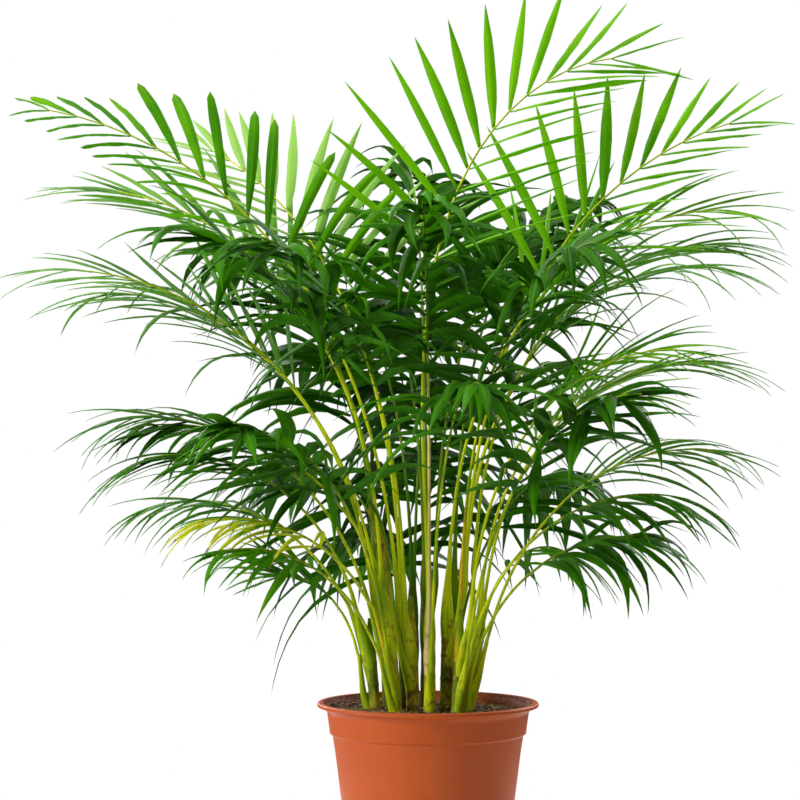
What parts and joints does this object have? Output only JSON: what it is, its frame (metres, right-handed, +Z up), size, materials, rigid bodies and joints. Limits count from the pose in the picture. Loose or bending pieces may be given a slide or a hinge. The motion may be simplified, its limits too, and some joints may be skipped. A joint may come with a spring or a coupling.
{
  "type": "potted areca palm",
  "caption": "Feather-leaved cane palm clump with arching fronds, growing in a tapered round nursery pot with a stepped collar and flat rim.",
  "frame": {"origin": "centre of the pot's flat underside", "axes": "+Z up along the pot's axis; -Y is the side seen from the front"},
  "size_m": [0.6935, 0.6078, 0.7774],
  "materials": {
    "pot_plastic": "matte",
    "potting_soil": "matte",
    "cane": "satin",
    "frond": "satin",
    "dry_sheath": "matte"
  },
  "bodies": {
    "root": {"pot": "pot_plastic", "soil": "potting_soil", "cane_01": "cane", "cane_02": "cane", "cane_03": "cane", "cane_04": "cane", "cane_05": "cane", "cane_06": "cane", "cane_07": "cane", "cane_08": "cane", "cane_09": "cane", "cane_10": "cane", "cane_11": "cane", "cane_12": "cane", "cane_13": "cane", "frond_01": "frond", "frond_02": "frond", "frond_03": "frond", "frond_04": "frond", "frond_05": "frond", "frond_06": "frond", "frond_07": "frond", "frond_08": "frond", "frond_09": "frond", "frond_10": "frond", "frond_11": "frond", "frond_12": "frond", "frond_13": "frond", "frond_14": "frond", "frond_15": "frond", "frond_16": "frond", "frond_17": "frond", "frond_18": "frond", "frond_19": "frond", "frond_20": "frond", "frond_21": "frond", "frond_22": "frond", "frond_23": "frond", "frond_24": "frond", "frond_25": "frond", "frond_26": "frond", "frond_27": "frond", "frond_28": "frond", "frond_29": "frond", "frond_30": "frond", "frond_31": "frond", "frond_32": "frond", "frond_33": "frond", "frond_34": "frond", "frond_35": "frond", "frond_36": "frond", "frond_37": "frond", "frond_38": "frond", "frond_39": "frond", "frond_40": "frond", "frond_41": "frond", "frond_42": "frond", "frond_43": "frond", "frond_44": "frond", "dry_sheath": "dry_sheath"}
  },
  "joints": []
}
